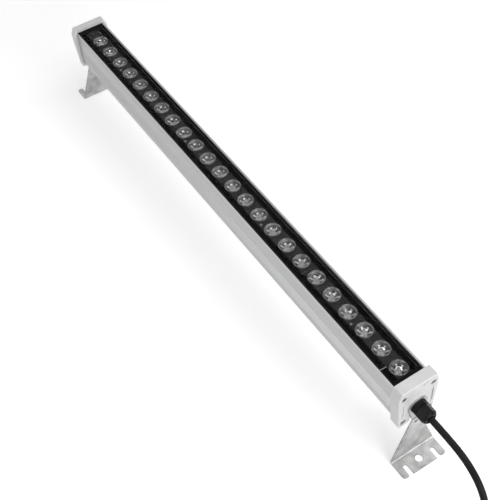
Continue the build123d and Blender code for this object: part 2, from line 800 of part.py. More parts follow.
def foot_cuts():
    cuts = [z_rod(FOOT_HOLE_X, 0, -1, SHEET + 1, FOOT_HOLE)]
    for side in (-1, 1):
        y = side * SLOT_Y
        cuts.append(z_rod(FOOT_HOLE_X, y, -1, SHEET + 1, SLOT_HALF))
        cuts.append(
            block(FOOT_HOLE_X, FOOT_END + 5, y - SLOT_HALF, y + SLOT_HALF, -1, SHEET + 1)
        )
    return cuts


def bracket():
    sheet = bent_sheet() & extrude(Plane.YZ.offset(490) * bracket_outline(), amount=60)
    for cut in foot_cuts():
        sheet -= cut
    uprights = sheet.edges().filter_by(Axis.Z).filter_by_position(Axis.X, FOOT_END - 1, FOOT_END + 1)
    corners = [e for e in uprights if abs(e.center().Y) > FOOT_HALF - 1]
    sheet = fillet(corners, 5.0)
    uprights = sheet.edges().filter_by(Axis.Z).filter_by_position(Axis.X, FOOT_END - 1, FOOT_END + 1)
    tab_corners = [e for e in uprights if abs(e.center().Y) > SLOT_Y]
    sheet = fillet(tab_corners, 2.6)
    return sheet - x_rod(BRACKET_IN - 1, BRACKET_OUT + 1, PIVOT_HOLE)


def cable_end_bracket():
    """The bracket at the gland, with a small hole and a pressed line at its neck."""
    sheet = bracket() - x_rod(BRACKET_IN - 1, BRACKET_OUT + 1, 2.8, 0, height(85.5))
    top, under = PRESSED_LEVELS
    over = BRACKET_OUT + 1
    return sheet - block(BRACKET_OUT - PRESSED_DEPTH, over, -20, 20, height(under), height(top))


def far_end_bracket():
    """The bracket at the plug, with a larger hole in its web."""
    return far_end(bracket() - x_rod(BRACKET_IN - 1, BRACKET_OUT + 1, 8.0, 0, height(119.0)))


# ---- lead, coil, tie and connector ------------------------------------------------------------
LEAD_Z = LEAD_RADIUS + 0.95  # the lead's centre where it lies on the floor
TURN_PITCH = 10.6
COIL_X = 792.0
HALF_TURNS = COIL_TURNS / 2
COIL_INNER = COIL_MID_RADIUS - TURN_PITCH * HALF_TURNS / 2
COIL_OUTER = COIL_INNER + TURN_PITCH * HALF_TURNS
STUB = LEAD_DIAMETER

LEAD_ROUTE = [
    (MOUTH_X + 0.4, 0, PIVOT_Z),
    (567.0, 0, PIVOT_Z),
    (606.0, -1.0, 126.5),
    (642.0, -5.0, 111.0),
    (667.0, -13.0, 81.0),
    (682.5, -24.0, 48.0),
    (700.0, -38.0, 21.5),
    (724.0, -51.5, 8.4),
    (753.0, -COIL_OUTER, LEAD_Z),
    (COIL_X - STUB, -COIL_OUTER, LEAD_Z),
]
CONNECTOR_Z = 13.2
CONNECTOR_Y = 58.2
TAIL_ROUTE = [
    (COIL_X - STUB, COIL_OUTER, LEAD_Z + TURN_PITCH),
    (765.0, COIL_OUTER, LEAD_Z + TURN_PITCH),
    (748.0, COIL_OUTER - 0.8, LEAD_Z + TURN_PITCH - 1.3),
    (731.0, CONNECTOR_Y, CONNECTOR_Z),
    (714.0, CONNECTOR_Y, CONNECTOR_Z),
]


def route_radii(points):
    """Each corner's arc is as large as its two runs allow."""
    radii = []
    for before, here, after in zip(points, points[1:], points[2:]):
        run_in = Vector(here) - Vector(before)
        run_out = Vector(after) - Vector(here)
        turn = math.radians(run_in.get_angle(run_out))
        radii.append(0.45 * min(run_in.length, run_out.length) / math.tan(turn / 2))
    return radii


def lead_tube(name, points):
    radii = route_radii(points)
    path = FilletPolyline(*points, radius=radii)
    section = Plane(origin=path @ 0, z_dir=path % 0) * Circle(LEAD_RADIUS)
    tube = sweep(section, path=path)
    expected = math.pi * LEAD_RADIUS**2 * path.length
    print(name, "radii", [round(r) for r in radii])
    print(name, "length", round(path.length, 1), "volume ratio", round(tube.volume / expected, 4))
    return tube


def coil_point(turn):
    """A point of the coil's centre line: in along the floor, up a layer, and out again."""
    radius = COIL_INNER + TURN_PITCH * abs(turn - HALF_TURNS)
    climb = min(max(2 * (turn - HALF_TURNS) + 0.5, 0.0), 1.0)
    rise = TURN_PITCH * (0.5 - 0.5 * math.cos(math.pi * climb))
    angle = 2 * math.pi * turn - math.pi / 2
    return Vector(COIL_X + radius * math.cos(angle), radius * math.sin(angle), LEAD_Z + rise)


def coil_direction(turn):
    """The centre line's direction, level and square to the radius at both ends."""
    if turn in (0.0, COIL_TURNS):
        angle = 2 * math.pi * turn
        return Vector(math.cos(angle), math.sin(angle), 0)
    step = 0.02
    return (coil_point(turn + step) - coil_point(turn - step)).normalized()


def biarc(start, start_way, end, end_way):
    """Two arcs that leave start and reach end in the given directions."""
    chord = end - start
    ways = start_way + end_way
    a = 2 * (1 - start_way.dot(end_way))
    b = 2 * chord.dot(ways)
    reach = (-b + math.sqrt(b * b + 4 * a * chord.dot(chord))) / (2 * a)
    middle = (start + end + (start_way - end_way) * reach) * 0.5
    first = Edge.make_tangent_arc(start, start_way, middle)
    second = Edge.make_tangent_arc(middle, first % 1, end)
    return [first, second]


def coil_wire():
    quarters = [n / 4 for n in range(int(4 * COIL_TURNS) + 1)]
    start = coil_point(0.0)
    end = coil_point(COIL_TURNS)
    edges = [Edge.make_line(start - Vector(STUB, 0, 0), start)]
    for low, high in zip(quarters, quarters[1:]):
        edges += biarc(coil_point(low), coil_direction(low), coil_point(high), coil_direction(high))
    edges.append(Edge.make_line(end, end - Vector(STUB, 0, 0)))
    return Wire(edges)


def least_self_gap(wire):
    """The least distance between the tube's own turns, measured on points of its line."""
    count = 420
    points = [wire @ (n / count) for n in range(count + 1)]
    apart = int(count * 0.5 / COIL_TURNS)
    gaps = [
        (points[i] - points[j]).length
        for i in range(count + 1)
        for j in range(i + apart, count + 1)
    ]
    return min(gaps) - LEAD_DIAMETER


def lead_coil():
    wire = coil_wire()
    section = Plane(origin=wire @ 0, z_dir=wire % 0) * Circle(LEAD_RADIUS)
    coil = sweep(section, path=wire)
    expected = math.pi * LEAD_RADIUS**2 * wire.length
    print("lead_coil length", round(wire.length, 1), "volume ratio", round(coil.volume / expected, 4))
    print("lead_coil least gap to itself", round(least_self_gap(wire), 2), "mm")
    return coil


TIE_WIDTH = 12.0
TIE_THICKNESS = 0.8


def coil_tie():
    """Strap round the bundle of turns, on the side of the coil away from the lamp."""
    inner = COIL_INNER + 0.25 * TURN_PITCH - LEAD_RADIUS - 2.9
    outer = COIL_OUTER + LEAD_RADIUS - 1.6
    top = LEAD_Z + TURN_PITCH + LEAD_RADIUS + 0.15
    shape = block(
        COIL_X + inner - TIE_THICKNESS,
        COIL_X + outer + TIE_THICKNESS,
        -TIE_WIDTH / 2,
        TIE_WIDTH / 2,
        0.05,
        top + TIE_THICKNESS,
    )
    shape = fillet(shape.edges().filter_by(Axis.Y), 4.6)
    hollow = block(COIL_X + inner, COIL_X + outer, -TIE_WIDTH, TIE_WIDTH, 0.85, top)
    return shape - fillet(hollow.edges().filter_by(Axis.Y), 3.8)


CLAMP_X = TAIL_ROUTE[-1][0]
CLAMP_LENGTH = 13.0
SLEEVE_RADIUS = 8.4
GRIP_LENGTH = 17.0
SHELL_LENGTH = 33.0
RING_LENGTH = 18.0
RING_RADIUS = 12.3
RING_RIBS = 12
PINS = 3


def connector_clamp_nut():
    x0 = CLAMP_X - CLAMP_LENGTH
    profile = [(CLAMP_X, 0), (CLAMP_X, 7.2), (CLAMP_X - 3, 9.6), (x0, 10.6), (x0, 0)]
    return x_turned(profile, CONNECTOR_Y, CONNECTOR_Z)


def connector_body():
    x0 = CLAMP_X - CLAMP_LENGTH
    grip = x0 - GRIP_LENGTH
    end = x0 - SHELL_LENGTH
    shell = [(x0, 0), (x0, 11.6), (x0 - 2, 12.2), (grip, 12.2), (grip, SLEEVE_RADIUS)]
    sleeve = [(end, SLEEVE_RADIUS), (end, 0)]
    return x_turned(shell + sleeve, CONNECTOR_Y, CONNECTOR_Z)


def connector_ring():
    """Coupling ring with finger ribs."""
    x1 = CLAMP_X - CLAMP_LENGTH - GRIP_LENGTH - 1
    x0 = x1 - RING_LENGTH
    ring = x_rod(x0, x1, RING_RADIUS, CONNECTOR_Y, CONNECTOR_Z)
    for number in range(RING_RIBS):
        angle = 2 * math.pi * number / RING_RIBS
        y = CONNECTOR_Y + (RING_RADIUS - 0.2) * math.cos(angle)
        z = CONNECTOR_Z + (RING_RADIUS - 0.2) * math.sin(angle)
        ring += x_rod(x0 + 2, x1 - 3, 0.9, y, z)
    return ring - x_rod(x0 - 1, x1 + 1, SLEEVE_RADIUS + 0.1, CONNECTOR_Y, CONNECTOR_Z)


def connector_pins():
    x1 = CLAMP_X - CLAMP_LENGTH - SHELL_LENGTH
    pins = []
    for number in range(PINS):
        angle = 2 * math.pi * number / PINS + math.pi / 2
        y = CONNECTOR_Y + 4.2 * math.cos(angle)
        z = CONNECTOR_Z + 4.2 * math.sin(angle)
        pins.append(x_rod(x1 - 2.6, x1, 1.2, y, z))
    return pins


# ---- write the pieces ---------------------------------------------------------------------------
def write_lamp():
    save("housing_extrusion", housing())
    save("cable_end_cap", end_cap(CABLE_CAP_DEPTH, CABLE_CAP_TOP))
    save("far_end_cap", far_end(end_cap(FAR_CAP_DEPTH, FAR_CAP_TOP)))
    save("cable_end_gasket", gasket(CABLE_CAP_DEPTH))
    save("far_end_gasket", far_end(gasket(FAR_CAP_DEPTH)))
    save("cable_end_cap_screws", *cap_screws(CABLE_CAP_DEPTH))
    save("far_end_cap_screws", *[far_end(screw) for screw in cap_screws(FAR_CAP_DEPTH)])
    save("front_glass", glass())
    save("glass_seal", glass_seal())
    save("front_side_trim", side_trim(-1))
    save("rear_side_trim", side_trim(1))


def write_light_engine():
    cup = lens_holder()
    cone = lens_reflector()
    optic = lens()
    for board in range(BOARDS):
        name = board + 1
        save(f"led_board_{name}", led_board(board))
        save(f"lens_group_{name}", *[at_led(optic, n) for n in leds_of(board)])
        save(f"cover_strip_{name}", cover_strip(board))
    save("lens_holders", *[at_led(cup, n) for n in range(LEDS)])
    save("lens_reflectors", *[at_led(cone, n) for n in range(LEDS)])
    save("thermal_pads", *[thermal_pad(b) for b in range(BOARDS)])
    save("led_packages", *[led_package(n) for n in range(LEDS)])
    save("led_phosphors", *[led_phosphor(n) for n in range(LEDS)])
    save("strip_pillars", *[strip_pillar(x, y) for x, y in pillar_places()])
    radius = PILLAR_SCREW_RADIUS
    strip_top = height(STRIP_TOP)
    strip_screws = [pan_screw(x, y, strip_top, 2.0, 1.0, radius, 6.5) for x, y in pillar_places()]
    save("strip_screws", *strip_screws)
    board_top = height(BOARD_TOP)
    board_screws = [pan_screw(x, 0, board_top, 2.8, 2.0, 1.5, 7.0) for x in board_screw_places()]
    save("board_screws", *board_screws)
    save("board_jumpers", *[board_jumper(b, y) for b in range(BOARDS - 1) for y in (-6.0, -9.5)])
    save("strip_link", strip_link())


def write_driver():
    save("driver_case", driver_case())
    save("driver_lid", driver_lid())
    save("driver_board", driver_board())
    save("driver_components", *driver_components())
    lid_top = height(DRIVER_TOP) + CASE_WALL
    radius = LID_SCREW_RADIUS
    lid_screws = [pan_screw(x, y, lid_top, 2.8, 1.8, radius, 8.0) for x, y in lid_screw_places()]
    save("driver_lid_screws", *lid_screws)
    save("terminal_block", terminal_block())
    save("mains_cores", *[mains_core(lane) for lane in (-1, 0, 1)])
    save("driver_output_wires", driver_output_wire(-4.8), driver_output_wire(-7.2))
    save("earth_lug", earth_lug())
    lug_top = height(CHAMBER_FLOOR) + 0.8
    save("earth_screw", pan_screw(EARTH_X, EARTH_Y, lug_top, 3.6, 2.4, 2.0, 0.8))


def write_pivots():
    save("gland_body", gland_body())
    save("gland_seal", gland_seal())
    save("gland_nut", gland_nut())
    nut = locknut()
    save("gland_locknut", nut)
    save("lead_inside_gland", x_rod(INSIDE_X - 3.6, MOUTH_X + 0.4, LEAD_RADIUS))
    save("far_pivot_plug", far_end(pivot_plug()))
    save("far_pivot_locknut", far_end(nut))
    save("cable_end_bracket", cable_end_bracket())
    save("far_end_bracket", far_end_bracket())


def write_lead():
    save("power_lead", lead_tube("power_lead", LEAD_ROUTE))
    save("lead_coil", lead_coil())
    save("lead_tail", lead_tube("lead_tail", TAIL_ROUTE))
    save("coil_tie", coil_tie())
    save("connector_clamp_nut", connector_clamp_nut())
    save("connector_body", connector_body())
    save("connector_ring", connector_ring())
    save("connector_pins", *connector_pins())


write_lamp()
write_light_engine()
write_driver()
write_pivots()
write_lead()
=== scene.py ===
import bmesh
import bpy
import json
import math
from mathutils import Matrix, Vector


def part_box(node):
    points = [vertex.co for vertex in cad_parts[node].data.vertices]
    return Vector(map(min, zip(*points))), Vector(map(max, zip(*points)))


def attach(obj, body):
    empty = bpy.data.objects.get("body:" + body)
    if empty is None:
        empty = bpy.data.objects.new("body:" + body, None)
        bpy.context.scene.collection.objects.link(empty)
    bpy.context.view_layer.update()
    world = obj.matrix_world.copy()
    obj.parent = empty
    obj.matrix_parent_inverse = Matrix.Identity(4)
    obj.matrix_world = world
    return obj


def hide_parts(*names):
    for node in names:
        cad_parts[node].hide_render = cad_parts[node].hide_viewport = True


# Outdoor wall washer light, in metres, in the frame of the CAD model: +X along the lamp
# towards the lead, +Z up from the floor.

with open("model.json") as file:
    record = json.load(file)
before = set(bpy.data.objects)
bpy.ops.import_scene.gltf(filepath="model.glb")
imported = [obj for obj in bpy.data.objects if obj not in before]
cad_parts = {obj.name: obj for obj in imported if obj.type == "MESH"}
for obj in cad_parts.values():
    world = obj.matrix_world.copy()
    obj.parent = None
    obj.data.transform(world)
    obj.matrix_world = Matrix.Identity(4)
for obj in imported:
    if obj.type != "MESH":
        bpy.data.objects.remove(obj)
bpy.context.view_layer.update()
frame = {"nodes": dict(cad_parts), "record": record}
nodes = frame["nodes"]

WHITE = (1.0, 1.0, 1.0)


# ---- camera ---------------------------------------------------------------------------
CAMERA_PLACE = Vector((0.99166, -0.52020, 1.31067))
CAMERA_AIM = Vector((-0.5595127, 0.3139748, -0.7670498))
CAMERA_ROLL = math.radians(-4.989)
FOCAL_LENGTH = 69.68  # mm
SENSOR_WIDTH = 36  # mm
NEAREST_SEEN = 0.05
FARTHEST_SEEN = 50


def place_camera():
    data = bpy.data.cameras.new("camera")
    data.sensor_width = SENSOR_WIDTH
    data.lens = FOCAL_LENGTH
    data.clip_start = NEAREST_SEEN
    data.clip_end = FARTHEST_SEEN
    camera = bpy.data.objects.new("camera", data)
    level = CAMERA_AIM.to_track_quat("-Z", "Y").to_matrix().to_4x4()
    roll = Matrix.Rotation(CAMERA_ROLL, 4, "Z")
    camera.matrix_world = Matrix.Translation(CAMERA_PLACE) @ level @ roll
    bpy.context.scene.collection.objects.link(camera)
    bpy.context.scene.camera = camera


# ---- node helpers -----------------------------------------------------------------------
def put(tree, kind, **values):
    """A new shader node. Values name its inputs, with spaces written as underscores."""
    node = tree.nodes.new(kind)
    for name, value in values.items():
        key = name.replace("_", " ")
        if key in node.inputs:
            give(tree, node.inputs[key], value)
        else:
            setattr(node, name, value)
    return node


def give(tree, socket, value):
    """Links an output socket to an input, or sets the input to a plain value."""
    if isinstance(value, bpy.types.NodeSocket):
        tree.links.new(value, socket)
    elif isinstance(value, tuple) and len(value) == 3 and socket.type == "RGBA":
        socket.default_value = (*value, 1)
    else:
        socket.default_value = value


def maths(tree, operation, first, second):
    """The result of a Math node on two numbers or sockets, kept between 0 and 1."""
    node = tree.nodes.new("ShaderNodeMath")
    node.operation = operation
    node.use_clamp = True
    give(tree, node.inputs[0], first)
    give(tree, node.inputs[1], second)
    return node.outputs[0]


def between(tree, share, low, high):
    """A number that goes from low to high as share goes from 0 to 1."""
    node = put(tree, "ShaderNodeMapRange", Value=share)
    node.inputs["To Min"].default_value = low
    node.inputs["To Max"].default_value = high
    return node.outputs[0]


def tint(tree, share, first, second):
    """The first colour turning to the second as share goes from 0 to 1."""
    node = tree.nodes.new("ShaderNodeMix")
    node.data_type = "RGBA"
    give(tree, node.inputs[0], share)
    give(tree, node.inputs[6], first)
    give(tree, node.inputs[7], second)
    return node.outputs[2]


def noise(tree, place, scale, detail):
    node = put(tree, "ShaderNodeTexNoise", Vector=place, Scale=scale, Detail=detail)
    return node.outputs[0]


def object_place(tree):
    return put(tree, "ShaderNodeTexCoord").outputs["Object"]


def effect(name, inputs, outputs):
    """An empty shader node group with named inputs and outputs."""
    group = bpy.data.node_groups.new(name, "ShaderNodeTree")
    for label, kind, value in inputs:
        socket = group.interface.new_socket(label, in_out="INPUT", socket_type=kind)
        socket.default_value = value
    for label, kind in outputs:
        group.interface.new_socket(label, in_out="OUTPUT", socket_type=kind)
    return group, group.nodes.new("NodeGroupInput"), group.nodes.new("NodeGroupOutput")


FLOAT = "NodeSocketFloat"
VECTOR = "NodeSocketVector"


# ---- shared effects ------------------------------------------------------------------------
# Noise stays near 0.5, and these ends stretch it to the spread that an effect needs.
PATCH_SPREAD = (-0.6, 1.6)
STREAK_SPREAD = (-0.5, 1.5)
WEAR_AND_PAINTED_LIGHT_SPREAD = (0.2, 1.4)
FILM_SPREAD = (-0.8, 1.6)
BAND_SCALE = 0.12  # how much broader than its streaks the bands of a brushed surface are
EDGE_BEGINS = 0.995  # cosine between the flat and the eased normal where an edge starts
EDGE_FULL = 0.85
EASING_SAMPLES = 6
WEAR_AND_PAINTED_LIGHT_SCALE = 220.0
DUST_SCALE = 45.0
DUST_SLOPE = 0.3  # a face that looks up less than this holds no dust


def make_grain():
    """Fine unevenness of a surface, with broad patches of the same."""
    group, given, result = effect(
        "fine_grain",
        [("Scale", FLOAT, 1500.0), ("Patch Scale", FLOAT, 30.0)],
        [("Height", FLOAT), ("Patch", FLOAT)],
    )
    place = object_place(group)
    fine = noise(group, place, given.outputs["Scale"], 3.0)
    broad = noise(group, place, given.outputs["Patch Scale"], 4.0)
    give(group, result.inputs["Height"], fine)
    give(group, result.inputs["Patch"], between(group, broad, *PATCH_SPREAD))
    return group


def make_brushed():
    """Long thin streaks. Stretch is how many streaks there are in a metre along each axis."""
    group, given, result = effect(
        "brushed_streaks",
        [("Stretch", VECTOR, (4.0, 2500.0, 2500.0))],
        [("Streak", FLOAT), ("Band", FLOAT)],
    )
    drawn = put(group, "ShaderNodeVectorMath", operation="MULTIPLY")
    give(group, drawn.inputs[0], object_place(group))
    give(group, drawn.inputs[1], given.outputs["Stretch"])
    fine = noise(group, drawn.outputs[0], 1.0, 4.0)
    wide = noise(group, drawn.outputs[0], BAND_SCALE, 3.0)
    give(group, result.inputs["Streak"], between(group, fine, *STREAK_SPREAD))
    give(group, result.inputs["Band"], between(group, wide, *STREAK_SPREAD))
    return group


def make_edges():
    """Where a surface turns a sharp corner, and a normal that rounds that corner off. Finishes use
    the corner mask for wear and for painted edge highlights and shade.
    """
    group, given, result = effect(
        "eased_edges",
        [("Radius", FLOAT, 0.0005)],
        [("Edge", FLOAT), ("Normal", VECTOR)],
    )
    eased = put(
        group, "ShaderNodeBevel", Radius=given.outputs["Radius"], samples=EASING_SAMPLES
    )
    flat = put(group, "ShaderNodeNewGeometry").outputs["Normal"]
    meet = put(group, "ShaderNodeVectorMath", operation="DOT_PRODUCT")
    give(group, meet.inputs[0], eased.outputs[0])
    give(group, meet.inputs[1], flat)
    turned = put(group, "ShaderNodeMapRange", Value=meet.outputs["Value"])
    turned.inputs["From Min"].default_value = EDGE_BEGINS
    turned.inputs["From Max"].default_value = EDGE_FULL
    # uneven spots along the edges, used for wear and for painted highlights and painted shade
    spots = noise(group, object_place(group), WEAR_AND_PAINTED_LIGHT_SCALE, 3.0)
    uneven = between(group, spots, *WEAR_AND_PAINTED_LIGHT_SPREAD)
    give(group, result.inputs["Edge"], maths(group, "MULTIPLY", turned.outputs[0], uneven))
    give(group, result.inputs["Normal"], eased.outputs[0])
    return group


def make_dust():
    """A thin uneven film that lies on what faces up."""
    group, given, result = effect("settled_dust", [], [("Film", FLOAT)])
    up = put(group, "ShaderNodeSeparateXYZ")
    give(group, up.inputs[0], put(group, "ShaderNodeNewGeometry").outputs["Normal"])
    facing = put(group, "ShaderNodeMapRange", Value=up.outputs[2])
    facing.inputs["From Min"].default_value = DUST_SLOPE
    clouds = noise(group, object_place(group), DUST_SCALE, 6.0)
    thick = between(group, clouds, *FILM_SPREAD)
    give(group, result.inputs["Film"], maths(group, "MULTIPLY", facing.outputs[0], thick))
    return group


GRAIN = make_grain()
BRUSHED = make_brushed()
EDGES = make_edges()
DUST = make_dust()


def use(tree, group, **values):
    """The outputs of a shared effect, set up with the given inputs."""
    node = tree.nodes.new("ShaderNodeGroup")
    node.node_tree = group
    for name, value in values.items():
        give(tree, node.inputs[name.replace("_", " ")], value)
    return node.outputs


# ---- finishes ---------------------------------------------------------------------------------
DUST_ON_METAL = (0.6, 0.59, 0.57)
DUST_ON_PLASTIC = (0.5, 0.49, 0.47)
ROUGHNESS_BELOW = 0.05  # how far the roughness of a moulding varies round its own value
ROUGHNESS_ABOVE = 0.07


def finish(name, **values):
    """A material with one Principled shader. Returns it with its tree and that shader."""
    material = bpy.data.materials.new(name)
    material.use_nodes = True
    tree = material.node_tree
    shader = tree.nodes["Principled BSDF"]
    for label, value in values.items():
        give(tree, shader.inputs[label.replace("_", " ")], value)
    return material, tree, shader


def relief(tree, shader, height, depth, normal=None):
    bump = put(tree, "ShaderNodeBump", Height=height, Distance=depth, Strength=1.0)
    if normal is not None:
        give(tree, bump.inputs["Normal"], normal)
    give(tree, shader.inputs["Normal"], bump.outputs[0])


def marked(tree, share, amount, body, colour):
    """The body's colour turning towards another one where share is high."""
    return tint(tree, maths(tree, "MULTIPLY", share, amount), body, colour)


def colour_and_gloss(tree, shader, colour, share, low, high):
    give(tree, shader.inputs["Base Color"], colour)
    give(tree, shader.inputs["Roughness"], between(tree, share, low, high))


def drawn_aluminium():
    """Clear anodised extrusion: streaks along its length, and painted shade that darkens its edges
    and groove corners a little.
    """
    material, tree, shader = finish("brushed_aluminium", Metallic=0.8)
    lines = use(tree, BRUSHED, Stretch=(3.0, 1800.0, 1800.0))
    edges = use(tree, EDGES, Radius=0.0004)
    film = use(tree, DUST)["Film"]
    metal = tint(tree, lines["Band"], (0.38, 0.385, 0.39), (0.48, 0.48, 0.485))
    # painted shade: edges and groove corners turn towards a darker grey
    metal = marked(tree, edges["Edge"], 0.8, metal, (0.30, 0.30, 0.305))
    metal = marked(tree, film, 0.05, metal, DUST_ON_METAL)
    colour_and_gloss(tree, shader, metal, lines["Streak"], 0.34, 0.46)
    relief(tree, shader, lines["Streak"], 0.00002, edges["Normal"])
    return material


def cast_aluminium():
    """Die-cast cap: satin silver with a very fine pebbled skin, and a painted highlight along its
    edges.
    """
    material, tree, shader = finish("cast_aluminium", Metallic=0.15)
    skin = use(tree, GRAIN, Scale=1400.0, Patch_Scale=35.0)
    edges = use(tree, EDGES, Radius=0.0007)
    film = use(tree, DUST)["Film"]
    metal = tint(tree, skin["Patch"], (0.57, 0.57, 0.575), (0.64, 0.64, 0.645))
    # painted highlight: the edges turn towards a pale grey
    metal = marked(tree, edges["Edge"], 0.5, metal, (0.78, 0.78, 0.78))
    metal = marked(tree, film, 0.12, metal, DUST_ON_METAL)
    colour_and_gloss(tree, shader, metal, skin["Height"], 0.42, 0.56)
    relief(tree, shader, skin["Height"], 0.00006, edges["Normal"])
    return material


def stainless_sheet():
    """Bracket sheet: cloudy, with fine short scratches one way and sheared edges darkened by
    painted shade.
    """
    material, tree, shader = finish("bracket_steel", Metallic=0.75)
    lines = use(tree, BRUSHED, Stretch=(1500.0, 60.0, 1500.0))
    clouds = use(tree, GRAIN, Scale=900.0, Patch_Scale=55.0)
    edges = use(tree, EDGES, Radius=0.0010)
    metal = tint(tree, clouds["Patch"], (0.28, 0.28, 0.28), (0.56, 0.56, 0.555))
    # painted shade: the sheared edges turn towards a near black
    metal = marked(tree, edges["Edge"], 1.6, metal, (0.10, 0.10, 0.10))
    colour_and_gloss(tree, shader, metal, lines["Streak"], 0.25, 0.42)
    relief(tree, shader, lines["Streak"], 0.00003, edges["Normal"])
    return material


def bright_metal(name, low, high, roughness):
    """Plated screws, tinned links, pins, reflectors and inner sheet parts."""
    material, tree, shader = finish(name, Metallic=1.0)
    skin = use(tree, GRAIN, Scale=2500.0, Patch_Scale=180.0)
    edges = use(tree, EDGES, Radius=0.0002)
    metal = tint(tree, skin["Patch"], low, high)
    rubbed = tuple(min(1, c * 1.25) for c in high)
    metal = tint(tree, edges["Edge"], metal, rubbed)
    colour_and_gloss(tree, shader, metal, skin["Patch"], roughness, roughness + 0.14)
    relief(tree, shader, skin["Height"], 0.00002, edges["Normal"])
    return material


def moulded(name, low, high, roughness, specular, grain=2200.0):
    """Moulded or painted skin: fine spark-eroded grain and slightly worn edges."""
    material, tree, shader = finish(name, Specular_IOR_Level=specular)
    skin = use(tree, GRAIN, Scale=grain, Patch_Scale=70.0)
    edges = use(tree, EDGES, Radius=0.0003)
    film = use(tree, DUST)["Film"]
    body = tint(tree, skin["Patch"], low, high)
    worn = tuple(c * 0.9 + 0.03 for c in high)
    body = marked(tree, edges["Edge"], 0.35, body, worn)
    body = marked(tree, film, 0.03, body, DUST_ON_PLASTIC)
    span = (roughness - ROUGHNESS_BELOW, roughness + ROUGHNESS_ABOVE)
    colour_and_gloss(tree, shader, body, skin["Patch"], *span)
    relief(tree, shader, skin["Height"], 0.00003, edges["Normal"])
    return material


def sheltered(name, low, high, roughness, specular, edge_highlight):
    """Moulded skin behind the glass: fine grain, no dust, and a painted highlight of the given
    colour along its edges.
    """
    material, tree, shader = finish(name, Specular_IOR_Level=specular)
    skin = use(tree, GRAIN, Scale=2200.0, Patch_Scale=90.0)
    edges = use(tree, EDGES, Radius=0.0003)
    body = tint(tree, skin["Patch"], low, high)
    # painted highlight: the edges turn towards a lighter colour
    body = tint(tree, edges["Edge"], body, edge_highlight)
    span = (roughness - ROUGHNESS_BELOW, roughness + ROUGHNESS_ABOVE)
    colour_and_gloss(tree, shader, body, skin["Patch"], *span)
    relief(tree, shader, skin["Height"], 0.00002)
    return material


def clear(name, ior, grain, smear_scale, haze):
    """Clear glass or lens plastic with faint smears. Rays from the lamps pass straight
    through it."""
    material, tree, shader = finish(
        name, Base_Color=WHITE, Roughness=0.0, IOR=ior, Transmission_Weight=1.0
    )
    smears = use(tree, GRAIN, Scale=grain, Patch_Scale=smear_scale)
    give(tree, shader.inputs["Roughness"], between(tree, smears["Patch"], 0.0, haze))
    through = put(tree, "ShaderNodeBsdfTransparent", Color=WHITE)
    choose = tree.nodes.new("ShaderNodeMixShader")
    light = tree.nodes.new("ShaderNodeLightPath")
    give(tree, choose.inputs[0], light.outputs["Is Shadow Ray"])
    give(tree, choose.inputs[1], shader.outputs[0])
    give(tree, choose.inputs[2], through.outputs[0])
    give(tree, tree.nodes["Material Output"].inputs["Surface"], choose.outputs[0])
    return material


def strap_webbing():
    """Woven hook-and-loop strap."""
    material, tree, shader = finish("tie_fabric", Roughness=0.9, Sheen_Weight=0.3)
    weave = use(tree, BRUSHED, Stretch=(1400.0, 1400.0, 300.0))
    nap = use(tree, GRAIN, Scale=2600.0, Patch_Scale=160.0)
    cloth = tint(tree, weave["Streak"], (0.02, 0.02, 0.022), (0.07, 0.07, 0.075))
    give(tree, shader.inputs["Base Color"], cloth)
    relief(tree, shader, maths(tree, "ADD", weave["Streak"], nap["Height"]), 0.0002)
    return material


# Darkest colour, lightest colour and roughness.
BRIGHT_METALS = {
    "screw_steel": ((0.20, 0.20, 0.205), (0.30, 0.30, 0.30), 0.3),
    "lens_reflector": ((0.88, 0.88, 0.88), (0.95, 0.95, 0.95), 0.34),
    "small_screw_zinc": ((0.14, 0.14, 0.14), (0.20, 0.20, 0.20), 0.35),
    "tinned_link": ((0.16, 0.16, 0.16), (0.22, 0.22, 0.22), 0.4),
    "driver_metal": ((0.45, 0.46, 0.47), (0.56, 0.57, 0.58), 0.4),
    "pin_brass": ((0.55, 0.40, 0.16), (0.72, 0.55, 0.25), 0.25),
}
# Darkest colour, lightest colour, roughness and specular level, and the lead's own grain.
MOULDINGS = {
    "gasket_rubber": ((0.01, 0.01, 0.01), (0.02, 0.02, 0.02), 0.7, 0.15),
    "led_board_grey": ((0.24, 0.24, 0.235), (0.30, 0.30, 0.295), 0.5, 0.3),
    "thermal_pad_grey": ((0.35, 0.36, 0.38), (0.45, 0.46, 0.48), 0.8, 0.2),
    "led_body": ((0.62, 0.56, 0.36), (0.72, 0.66, 0.46), 0.4, 0.4),
    "phosphor_yellow": ((0.75, 0.52, 0.10), (0.90, 0.68, 0.20), 0.5, 0.4),
    "pillar_plastic": ((0.50, 0.50, 0.48), (0.60, 0.60, 0.58), 0.5, 0.3),
    "wire_white": ((0.65, 0.65, 0.63), (0.78, 0.78, 0.76), 0.4, 0.4),
    "driver_board_green": ((0.02, 0.14, 0.06), (0.03, 0.2, 0.09), 0.4, 0.4),
    "component_black": ((0.02, 0.02, 0.024), (0.05, 0.05, 0.055), 0.5, 0.3),
    "terminal_plastic": ((0.68, 0.68, 0.64), (0.8, 0.8, 0.76), 0.5, 0.3),
    "gland_plastic": ((0.004, 0.004, 0.004), (0.008, 0.008, 0.008), 0.26, 0.09),
    "lead_rubber": ((0.005, 0.005, 0.005), (0.009, 0.009, 0.009), 0.38, 0.08, 1800.0),
    "connector_plastic": ((0.010, 0.010, 0.011), (0.02, 0.02, 0.02), 0.40, 0.12),
}
# The same without the grain, and last the colour of the painted highlight along the edges.
SHELTERED_MOULDINGS = {
    "black_trim": (
        (0.0018, 0.0018, 0.0018), (0.0030, 0.0030, 0.0030), 0.5, 0.01, (0.01, 0.01, 0.01)
    ),
    "dark_strip": (
        (0.012, 0.012, 0.012), (0.017, 0.017, 0.017), 0.55, 0.04, (0.11, 0.11, 0.11)
    ),
    "lens_cup_plastic": (
        (0.045, 0.045, 0.045), (0.07, 0.07, 0.07), 0.25, 0.6, (0.30, 0.30, 0.30)
    ),
}
